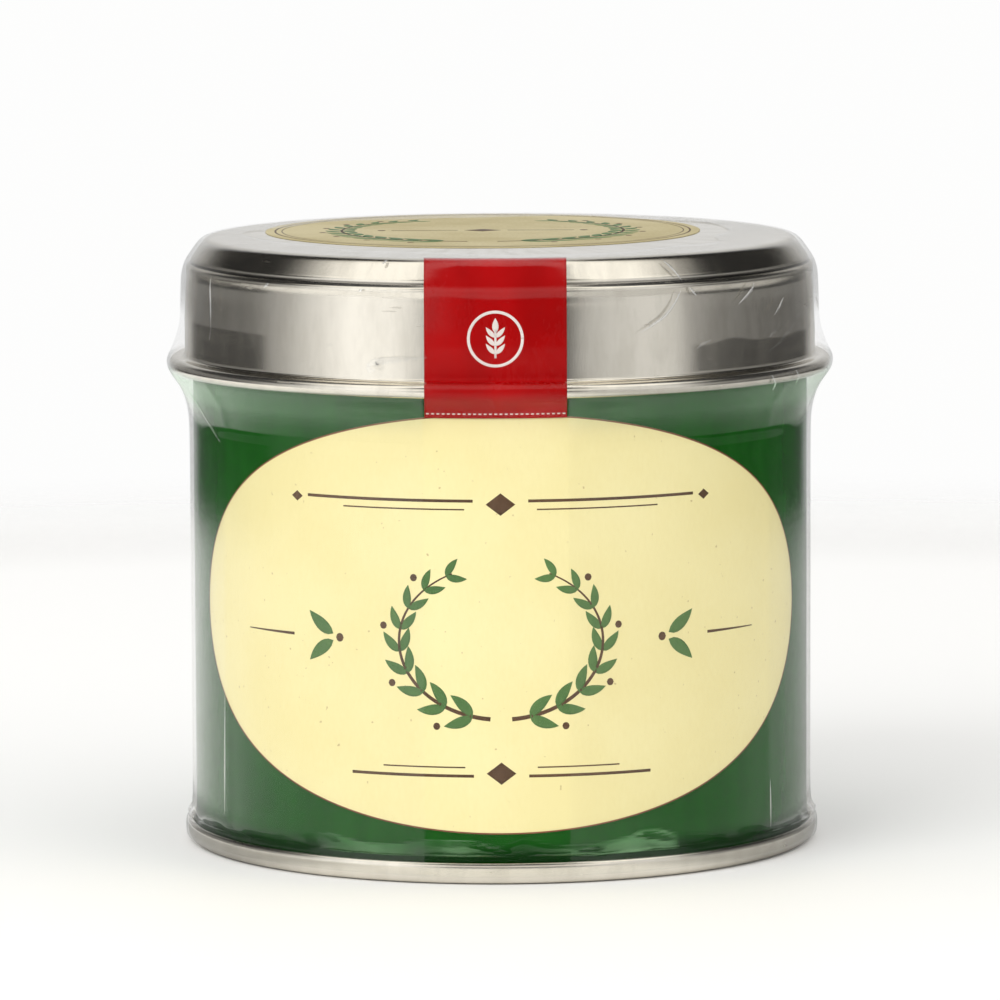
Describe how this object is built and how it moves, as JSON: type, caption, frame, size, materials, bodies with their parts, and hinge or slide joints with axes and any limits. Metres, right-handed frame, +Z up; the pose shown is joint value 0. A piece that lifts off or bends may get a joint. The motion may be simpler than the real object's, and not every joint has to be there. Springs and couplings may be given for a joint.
{
  "type": "sealed spice tin",
  "caption": "Round lacquered tin with a bare slip lid, paper labels, a seal strip and shrunk film, holding whole long pepper fruits.",
  "frame": {"origin": "centre of the base, on the surface that the tin stands on", "axes": "+Z up along the tin's axis; -Y is the front, with the oval label and the seal strip; +X is to the right as seen from the front"},
  "size_m": [0.08, 0.0801, 0.0725],
  "materials": {
    "base_tinplate": "satin tinplate",
    "green_lacquer": "satin green lacquer on tinplate",
    "lid_tinplate": "satin tinplate",
    "label_paper": "matt cream paper, printed",
    "lid_label_paper": "matt cream paper",
    "red_seal": "glossy red seal tape",
    "clear_film": "clear shrunk film",
    "dried_fruit": "dry, dull and rough"
  },
  "bodies": {
    "root": {"base_end": "base_tinplate", "can_body": "green_lacquer", "lid": "lid_tinplate", "front_label": "label_paper", "lid_label": "lid_label_paper", "seal_strip": "red_seal", "shrink_film": "clear_film", "long_pepper_01": "dried_fruit", "long_pepper_02": "dried_fruit", "long_pepper_03": "dried_fruit", "long_pepper_04": "dried_fruit", "long_pepper_05": "dried_fruit", "long_pepper_06": "dried_fruit", "long_pepper_07": "dried_fruit", "long_pepper_08": "dried_fruit", "long_pepper_09": "dried_fruit", "long_pepper_10": "dried_fruit", "long_pepper_11": "dried_fruit", "long_pepper_12": "dried_fruit", "long_pepper_13": "dried_fruit", "long_pepper_14": "dried_fruit", "long_pepper_15": "dried_fruit", "long_pepper_16": "dried_fruit", "long_pepper_17": "dried_fruit"}
  },
  "joints": []
}
